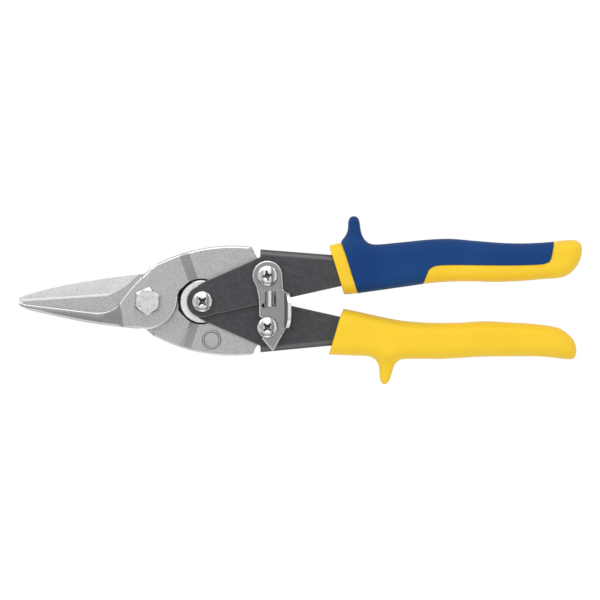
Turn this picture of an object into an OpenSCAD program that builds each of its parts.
// Compound-action aviation snips: two jaws, two channel handles, a return spring and a latch.
// Everything is drawn about the jaw pivot, then moved to the frame by placed().
// +X runs to the grips, +Y to the two-colour grip, +Z out of the front face.

/* [Jaws] */
// Thickness of each jaw at the pivot boss
boss_t = 6; // [5:0.1:7]
// Radius of the boss round the jaw pivot
boss_r = 14.2; // [13.5:0.1:14.5]
// Half thickness of the tangs that run into the handles
tang_half = 3; // [2.5:0.1:3.2]
// Gap between each jaw and the shear plane
shear_gap = 0.05; // [0.02:0.01:0.1]
// Radius of the eye at the end of each tang
eye_r = 7.3; // [6.5:0.1:8]

/* [Pivots] */
// Distance from the jaw pivot to the handle pivot
handle_pivot_x = 24.38; // [24:0.01:25]
// Distance along X from the jaw pivot to the two tang pivots
tang_pivot_x = 53.19; // [53:0.01:54]
// Height of the tang pivots from the centre line
tang_pivot_y = 11.41; // [11:0.01:12]
// Width across flats of the jaw pivot hexagon
hex_af = 11.1; // [10:0.1:13]
// Shank radius of the jaw pivot bolt
bolt_r = 3.175; // [3:0.005:4]
// Shank radius of the three machine screws
screw_r = 2.4; // [2:0.05:2.6]
// Radius of the pan heads
head_r = 4.7; // [4.5:0.05:5]
// Radial running clearance in the bores
run = 0.05; // [0.02:0.01:0.1]
// Slack of the rear jaw's tang on the lower pin
link_slack = 0.4; // [0.3:0.05:0.6]

/* [Handles] */
// Sheet thickness of the handle channels
sheet = 1.8; // [1.5:0.1:2]
// Half width over the upper channel
upper_half = 7.3; // [7:0.1:7.6]
// Half width over the lower channel, which nests in the upper one
lower_half = 5.2; // [5:0.1:5.4]
// Outside bend radius of the channels
bend_r = 2.7; // [2:0.1:3]
// Radius of the lugs at the handle pivot
lug_r = 7; // [6.5:0.1:7.5]

/* [Spring] */
// Wire radius
wire_r = 0.8; // [0.6:0.05:0.9]
// Mean radius of the coil
coil_r = 6.6; // [6:0.1:7]
// Radius of the cover discs
disc_r = 9.3; // [9:0.1:9.6]
// Offset of the cover discs towards the jaw pivot
disc_shift = 0.7; // [0:0.1:0.9]

/* [Latch] */
// Sheet thickness of the latch
latch_t = 1.6; // [1.2:0.1:2]
// Radius of the post that the latch hooks over
post_r = 2; // [1.8:0.05:2.2]

/* [Grips] */
// Half thickness of the grips
grip_half = 9.2; // [8.6:0.1:10]
// Edge radius of the grips
grip_round = 5; // [3:0.5:6]

/* [Hidden] */
$fn = 96;

B = [handle_pivot_x, 0];
C = [tang_pivot_x, tang_pivot_y];
disc_at = [handle_pivot_x - disc_shift, 0];
D = [tang_pivot_x, -tang_pivot_y];
rest_z = 11.2;                    // depth of the lowest face behind the shear plane
frame = [-67.75, -0.55, rest_z];  // moves the jaw pivot so the origin is under the middle
notch_r = 10.2;                   // clearance of the jaws round the cover discs
latch_z = upper_half + 0.5;       // back face of the latch
post_top = latch_z + latch_t + 0.2;
steel = [0.68, 0.69, 0.7];
sheet_grey = [0.3, 0.31, 0.32];
bright = [0.82, 0.83, 0.84];
yellow = [0.95, 0.78, 0.18];
blue = [0.13, 0.25, 0.46];

module placed() translate(frame) children();
module at(p, z = 0) translate([p[0], p[1], z]) children();
module flip_y() mirror([0, 1, 0]) children();
// A straight wall of height h between two levels, cut as a big block above a tilted plane
module above_plane(height, tilt) translate([0, 0, height]) rotate(tilt)
    translate([-120, -120, 0]) cube([240, 240, 40]);

module prism(z0, z1) translate([0, 0, z0]) linear_extrude(z1 - z0) children();

// ---------- jaws ----------

// Inside of the shoulder arc that bounds the boss and the arm towards the blade
module shoulder(z0, z1) translate([53.75, -46.4, z0]) cylinder(r = 80.4, h = z1 - z0);

// Arm from the boss to the eye with its hump at the rear, full thickness
module arm(z0, z1, trim = 0) difference() {
    union() {
        intersection() {
            prism(z0, z1) polygon([[-20, -4], [-20, 30], [45.9, 30], [46.1, 24.1], [46.9, 22.8],
                [47.5, 21.1], [48.6, 19.4], [51, 18.4], [54, 18], [54, 4.8], [40, 5.6], [31, 7.4],
                [24, 9], [15.2, 6], [13.2, 3.6], [0, -4]]);
            translate([37.5, -48.35 - trim, z0]) cylinder(r = 73.15, h = z1 - z0);
            shoulder(z0, z1);
        }
        at(C, z0) cylinder(r = eye_r, h = z1 - z0);
    }
    // notch round the spring discs, with a ledge at its back
    at(disc_at, z0 - 1) cylinder(r = disc_r + 0.15, h = z1 - z0 + 2);
    at(disc_at, -1) cylinder(r = notch_r, h = z1 + 2);
}

// Boss, a little off the pivot and cut by the shoulder
module boss(z0, z1) intersection() {
    translate([-0.7, 1.95, z0]) cylinder(r = boss_r, h = z1 - z0);
    shoulder(z0, z1);
}

// Steps a tang down from the boss to the tang thickness on its two faces
module tang_step() translate([14, 19.8, 0]) rotate([0, 0, 20])
    translate([0, 60, 0]) rotate([90, 0, 0]) linear_extrude(140) {
        polygon([[0, boss_t], [4.7, tang_half], [80, tang_half], [80, 8], [0, 8]]);
        polygon([[0.6, shear_gap], [5.3, -tang_half], [5.3, -20], [-150, -20], [-150, shear_gap]]);
    }

module front_jaw() color(steel) placed() difference() {
    union() {
        arm(-tang_half, boss_t);
        boss(0, boss_t);
        difference() {
            prism(0, boss_t) polygon([[-57.4, -0.75], [-54, -1.1], [-23.4, -4.84],
                [-12.57, -0.8], [0, 0], [1, -12.1], [-5.2, -12], [-12, -11.3], [-21.5, -10.2],
                [-31, -8.6], [-41.4, -6.4], [-51.7, -4.1], [-56, -2.6], [-57.4, -1.2]]);
            intersection() {
                translate([-21.9, 7.67, -1]) cylinder(r = 12.6, h = 10);
                translate([-23.4, -20, -1]) cube([10.83, 40, 10]);
            }
        }
    }
    tang_step();
    // bevelled outer face of the blade, ending at a step in front of the boss
    intersection() {
        above_plane(7.49, [19.2, -5.2, 0]);
        linear_extrude(20) polygon([[-70, 10], [-24, 10], [-12.6, -0.8], [-11.5, -5.1],
                                    [-10.7, -11.1], [-10.5, -20], [-70, -20]]);
    }
    // relief behind the cutting edge, straight and then round the throat
    translate([-57.4, -0.75, 0]) rotate([0, 0, -6.86]) rotate([3, 0, 0])
        translate([-5, 0, -2]) cube([39.3, 10, 12]);
    translate([-21.9, 7.67, -0.5]) intersection() {
        cylinder(r1 = 12.5, r2 = 12.9, h = 8);
        translate([-1.5, -20, 0]) cube([10.4, 20, 10]);
    }
    at([0, 0], -1) cylinder(r = bolt_r + run, h = 10);
    at(C, -5) cylinder(r = screw_r + run, h = 10);
}

// Thin shelf between the spring discs that closes the gap beside the boss
module spring_shelf() difference() {
    translate([9, -8, -2.3]) cube([10.3, 17.6, 1.3]);
    at(B, -4) cylinder(r = coil_r + wire_r + 1.2, h = 5);
}

module rear_jaw() color(steel) placed() difference() {
    union() {
        flip_y() arm(-boss_t, tang_half, 0.6);
        flip_y() boss(-boss_t, 0);
        spring_shelf();
        prism(-boss_t, 0) polygon([[-57.4, 1.6], [-54.1, 3], [-45.3, 5.4], [-35.9, 7.5],
            [-27.1, 9], [-17.7, 10.5], [-5.7, 11.9], [0, 12.2], [0, -8], [-12, -5.5],
            [-23.4, -5.9], [-43.4, -3.2], [-54.5, -1.6], [-56.4, -0.2], [-57.5, 0.2]]);
    }
    rotate([180, 0, 0]) tang_step();
    // taper of the back of the blade
    intersection() {
        rotate([180, 0, 0]) above_plane(5.6, [0, -4.3, 0]);
        translate([0, 0, -20]) linear_extrude(20)
            polygon([[-70, -20], [-12.5, -20], [-11.5, 0], [-9, 20], [-70, 20]]);
    }
    // ground relief over the shear land, with a round runout at the throat
    intersection() {
        translate([-50, 0.9, -shear_gap]) rotate([0, 0, 3.65]) rotate([-14, 0, 0])
            translate([-20, 0, 0]) cube([90, 40, 20]);
        union() {
            translate([-26.1, 29.8, -10]) cylinder(r = 28, h = 20);
            translate([-80, -5, -10]) cube([61.6, 40, 20]);
        }
    }
    at([0, 0], -9) cylinder(r = bolt_r + run, h = 10);
    at(D, -5) cylinder(r = post_r + link_slack, h = 10);
}

// ---------- fasteners ----------

module hexagon(af, h) cylinder(r = af / sqrt(3), h = h, $fn = 6);

// Hexagon with a chamfered top
module hex_body(af, h) intersection() {
    hexagon(af, h);
    cylinder(r1 = af / 2 + h * 1.7, r2 = af / 2 - 0.5, h = h);
}

module jaw_pivot_bolt() color(bright) placed() {
    at([0, 0], boss_t) rotate([0, 0, 23]) hex_body(hex_af, 3.6);
    at([0, 0], -10.8) cylinder(r = bolt_r, h = 10.8 + boss_t);
}

module jaw_pivot_washer() color(bright) placed() at([0, 0], -boss_t - 1) difference() {
    cylinder(r = 6.8, h = 1);
    translate([0, 0, -1]) cylinder(r = bolt_r + run, h = 3);
}

module jaw_pivot_nut() color(bright) placed() at([0, 0], -rest_z) difference() {
    translate([0, 0, rest_z - boss_t - 1]) rotate([180, 0, 12])
        hex_body(hex_af, rest_z - boss_t - 1);
    translate([0, 0, -1]) cylinder(r = bolt_r, h = 8);
}

// Pan head with a crowned top and a cross recess; base at z = 0
module pan_head(turn) difference() {
    rotate_extrude() intersection() {
        translate([0, -9.2]) circle(r = 12);
        square([head_r, 5]);
    }
    rotate([0, 0, turn]) translate([0, 0, 1.2]) {
        translate([-2.6, -0.5, 0]) cube([5.2, 1, 4]);
        translate([-0.5, -2.6, 0]) cube([1, 5.2, 4]);
        cylinder(r1 = 0.6, r2 = 1.4, h = 2);
    }
}

module screw(top, bottom, turn, r = screw_r) {
    translate([0, 0, top]) pan_head(turn);
    translate([0, 0, bottom]) cylinder(r = r, h = top - bottom);
}

module small_nut(top, depth, turn, r = screw_r) difference() {
    translate([0, 0, top]) rotate([180, 0, turn]) {
        hex_body(8, depth - 0.8);
        cylinder(r = 3.4, h = depth);
    }
    translate([0, 0, top - depth - 1]) cylinder(r = r, h = depth + 2);
}

module ring(outer, inner, z0, z1) translate([0, 0, z0]) difference() {
    cylinder(r = outer, h = z1 - z0);
    translate([0, 0, -1]) cylinder(r = inner, h = z1 - z0 + 2);
}

module handle_pivot_screw() color(bright) placed() at(B) screw(upper_half, -10.2, 45);
module handle_pivot_nut() color(bright) placed() at(B) small_nut(-upper_half, 3.4, 8);
module handle_pivot_sleeve() color(bright) placed() at(B)
    ring(4.2, screw_r + run, -lower_half + sheet + 0.05, lower_half - sheet - 0.05);
module upper_pin_screw() color(bright) placed() at(C) screw(latch_z + latch_t + 0.1, -10.2, 12);
module upper_pin_nut() color(bright) placed() at(C) small_nut(-upper_half, 3.4, 21);
module upper_pin_spacer_front() color(bright) placed() at(C)
    ring(5, screw_r + run, tang_half + 0.05, upper_half - sheet);
module upper_pin_spacer_rear() color(bright) placed() at(C)
    ring(5, screw_r + run, sheet - upper_half, -tang_half - 0.05);
module lower_pin_screw() color(bright) placed() at(D) screw(post_top, -7.9, 45, post_r);
module lower_pin_nut() color(bright) placed() at(D) small_nut(-lower_half, 3.2, 17, post_r);
module lower_pin_spacer() color(bright) placed() at(D)
    ring(post_r + 1.2, post_r, lower_half, latch_z - 0.1);

// ---------- spring ----------

module spring_disc(z0) difference() {
    at(disc_at, z0) cylinder(r = disc_r, h = 0.8);
    at(B, z0 - 1) cylinder(r = 4.25, h = 3);
}
module spring_disc_front() color(bright) placed() spring_disc(2.5);
module spring_disc_rear() color(bright) placed() spring_disc(-3.3);

module spring_leg() rotate([0, 90, 0]) cylinder(r = wire_r, h = 20);

// Coil of three turns with two legs that push the tangs apart
module return_spring() color(bright) placed() at(B) {
    for (z = [-1.5, 0, 1.5]) translate([0, 0, z]) rotate_extrude()
        translate([coil_r, 0]) circle(r = wire_r);
    translate([0, coil_r, 1.5]) rotate([0, 0, -8]) spring_leg();
    translate([0, -coil_r, -1.5]) rotate([0, 0, 8]) spring_leg();
}

// ---------- handles ----------

// Side shape of the upper channel, left open along the web, and its pivot lug
module channel_side(half) {
    at(B, -half) cylinder(r = lug_r, h = 2 * half);
    prism(-half, half) polygon([[22.5, 7.2], [25.7, 9.1], [27.9, 9.9], [45.8, 17.8], [50, 19.8],
        [50, 25], [130, 25], [130, 11.5], [96, 11.2], [89, 7.6], [85.3, 6.7], [34, -4.75], [30.2, -5.4],
        [26, -6.8], [18, 1]]);
}

// Corner to cut off for an edge of radius r, corner at the origin, body towards -X and -Y
module corner(r) difference() {
    translate([-r, -r]) square(r + 1);
    translate([-r, -r]) circle(r = r);
}

// Outer section of a channel: Z across, web edge at y = 0
module envelope_2d(half) difference() {
    translate([-half, -45]) square([2 * half, 45]);
    translate([half, 0]) corner(bend_r);
    translate([-half, 0]) mirror([1, 0]) corner(bend_r);
}

// Along the web, whose outer face starts at height web_y over x = 50 and falls by slope degrees
module along_web(web_y, slope) translate([50, web_y, 0]) rotate([0, 0, -slope])
    translate([-40, 0, 0]) rotate([0, 90, 0]) linear_extrude(130) children();

module channel_envelope(half, web_y, slope) intersection() {
    union() channel_side(half);
    along_web(web_y, slope) envelope_2d(half);
}

module channel(half, web_y, slope) intersection() {
    union() channel_side(half);
    along_web(web_y, slope) difference() {
        envelope_2d(half);
        translate([sheet - half, -50]) square([2 * (half - sheet), 50 - sheet]);
    }
}

module upper_handle() color(sheet_grey) placed() difference() {
    channel(upper_half, 23.15, 4.46);
    at(B, -10) cylinder(r = screw_r, h = 20);
    at(C, -10) cylinder(r = screw_r, h = 20);
}

module lower_handle() color(sheet_grey) placed() difference() {
    flip_y() channel(lower_half, 22.6, 5.45);
    at(B, -10) cylinder(r = screw_r + run, h = 20);
    at(D, -10) cylinder(r = post_r, h = 20);
}

// ---------- latch ----------

module latch_washer() color(bright) placed() at(C) ring(5.6, screw_r + run, upper_half, latch_z);

module latch_2d() difference() {
    union() {
        at(C) circle(r = 6.65);
        polygon([[46.6, 12], [46.9, 9.1], [48.3, 6.4], [48.9, 3.8], [49.4, 0.7], [49.5, -6.4],
                 [49.9, -7], [56, -9], [50.6, -16.3], [55.3, -21.7], [55.8, -21.7], [61.5, -12],
                 [61.5, 4.2], [60.2, 5], [59.8, 11.8]]);
    }
    // hook mouth, open to the left along the way the post leaves it
    at(D) {
        circle(r = post_r + 0.1);
        polygon([[-0.6, post_r], [-3.3, 4.5], [-12, 4.5], [-12, -4.95], [-2.6, -4.95],
                 [1.35, -1.61]]);
    }
    translate([51.6, -1.8]) circle(r = 1);
}

module latch() color(steel) placed() {
    difference() {
        union() {
            translate([0, 0, latch_z]) linear_extrude(latch_t) latch_2d();
            at(C, latch_z) cylinder(r = 5.9, h = latch_t + 0.1);
            translate([54.5, 4.7, latch_z + latch_t - 3]) rotate([90, 0, 0]) intersection() {
                cylinder(r = 4, h = 7.1);
                translate([-4, 2, 0]) cube([8, 3, 7.1]);
            }
        }
        at(C, latch_z - 1) cylinder(r = screw_r + run, h = 5);
        // slits beside the crest of the rib
        translate([55.05, -2.2, latch_z - 1]) cube([0.3, 6.6, 5]);
        translate([56.25, -1, latch_z - 1]) cube([0.5, 3.6, 5]);
        translate([52.3, -1.8, latch_z - 1]) cube([0.25, 5.8, 5]);
    }
    // thumb tab folded up along the right edge
    intersection() {
        translate([0, 4, latch_z]) rotate([90, 0, 0]) linear_extrude(15.8)
            polygon([[60.3, 0], [61.9, 0], [63.8, 8], [62.2, 8]]);
        translate([50, -3.9, latch_z]) rotate([0, 90, 0]) {
            cylinder(r = 8.6, h = 20);
            translate([-2, -7.9, 0]) cube([2, 15.8, 20]);
        }
    }
}

// ---------- grips ----------

// Bar along X with rounded edges, from height y0 to y1
module rounded_bar(x, length, y0, y1, half) translate([x, 0, 0]) rotate([90, 0, 90])
    linear_extrude(length) difference() {
        translate([y0, -half]) square([y1 - y0, 2 * half]);
        translate([y1, half]) corner(grip_round);
        translate([y1, -half]) mirror([0, 1]) corner(grip_round);
        translate([y0, half]) mirror([1, 0]) corner(grip_round);
        translate([y0, -half]) rotate(180) corner(grip_round);
    }

module grip_solid(half) {
    rounded_bar(118, 80, 8.3, 28, half);
    translate([80, 2, 0]) rotate([0, 0, 7]) rounded_bar(-5, 45, 0, 19, half);
    translate([80, 0, 0]) rounded_bar(-1, 60, 12, 27.2, half);
}

// The blue overmould covers the top and the front of the upper grip
module overmould_2d() polygon([[86.2, 27], [120, 28], [180, 28], [180, 23], [178.7, 18.1],
    [177, 16.8], [170.6, 16.2], [161, 15.9], [148, 16], [138.6, 16.2], [128.5, 15.6],
    [126.2, 14.8], [124.6, 13], [122, 7], [93.2, 2], [93.1, 4], [86.2, 26]]);

module upper_grip_2d() polygon([[80.6, 24.8], [85.7, 26.1], [99, 25.5], [112, 26.3], [124, 27.5],
    [134.2, 27.9], [145.6, 27], [159, 26], [168.4, 25.9], [180, 26.8], [190.3, 27.3],
    [192.3, 26], [193, 23.9], [192.5, 19.3], [190.4, 15.2], [187.5, 12.3], [183.7, 10.7],
    [168.4, 9.3], [154.6, 8.7], [143.3, 9], [129.7, 8.6], [122.5, 8], [93, 3.6], [87.3, 3.2]]);

module upper_horn_2d() polygon([[87, 25], [88.9, 30.9], [89.1, 35.6], [90, 37.4], [91.6, 38],
    [93.3, 37.3], [94.1, 35.6], [95.2, 29.6], [96.7, 27], [99.4, 25.5], [99.4, 21], [88.1, 21]]);

module lower_grip_2d() polygon([[80.5, -23.5], [85.4, -7.2], [87, -3.3], [97.4, -5.4],
    [112.3, -8.4], [124, -9.4], [138.6, -9.4], [148.8, -8.8], [161.3, -9.3], [170.6, -9.9],
    [179.6, -11], [183.4, -12.1], [187.1, -14.7], [189.5, -17.5], [190.5, -20.8], [190.3, -23.7],
    [189.3, -25.4], [187.3, -25.7], [175, -24.5], [148, -24.6], [129.7, -25.6], [118.1, -25.5],
    [98.5, -24.3]]);

module lower_horn_2d() polygon([[98.5, -24.3], [101.7, -26], [102.8, -29.4], [103.1, -34.9],
    [104.8, -36.9], [106.9, -35.3], [109.3, -28.6], [112.4, -25.7], [112, -20.6], [100, -20.6]]);

module slab(half) translate([0, 0, -half]) linear_extrude(2 * half) children();

// Tongue of the core that the overmould grips
module tongue() slab(upper_half + 0.9)
    polygon([[88, 7], [127, 12], [127, 23.2], [88, 23.2]]);

module upper_grip_core() color(yellow) placed() difference() {
    union() {
        intersection() {
            slab(grip_half) difference() {
                upper_grip_2d();
                overmould_2d();
            }
            grip_solid(grip_half);
        }
        tongue();
    }
    channel_envelope(upper_half, 23.15, 4.46);
}

module upper_grip_overmould() color(blue) placed() difference() {
    union() {
        intersection() {
            slab(grip_half + 0.4) intersection() {
                upper_grip_2d();
                overmould_2d();
            }
            grip_solid(grip_half + 0.4);
        }
        slab(5) upper_horn_2d();
    }
    channel_envelope(upper_half, 23.15, 4.46);
    tongue();
}

module lower_grip() color(yellow) placed() difference() {
    union() {
        intersection() {
            slab(grip_half) lower_grip_2d();
            union() {
                flip_y() grip_solid(grip_half);
                flip_y() translate([78, 5, 0]) rotate([0, 0, 7]) rounded_bar(-5, 60, -4, 15, grip_half);
            }
        }
        slab(5) lower_horn_2d();
    }
    flip_y() channel_envelope(lower_half, 22.6, 5.45);
}

front_jaw();
rear_jaw();
jaw_pivot_bolt();
jaw_pivot_washer();
jaw_pivot_nut();
upper_handle();
lower_handle();
handle_pivot_screw();
handle_pivot_sleeve();
handle_pivot_nut();
spring_disc_front();
spring_disc_rear();
return_spring();
upper_pin_screw();
upper_pin_spacer_front();
upper_pin_spacer_rear();
upper_pin_nut();
lower_pin_screw();
lower_pin_spacer();
lower_pin_nut();
latch_washer();
latch();
upper_grip_core();
upper_grip_overmould();
lower_grip();
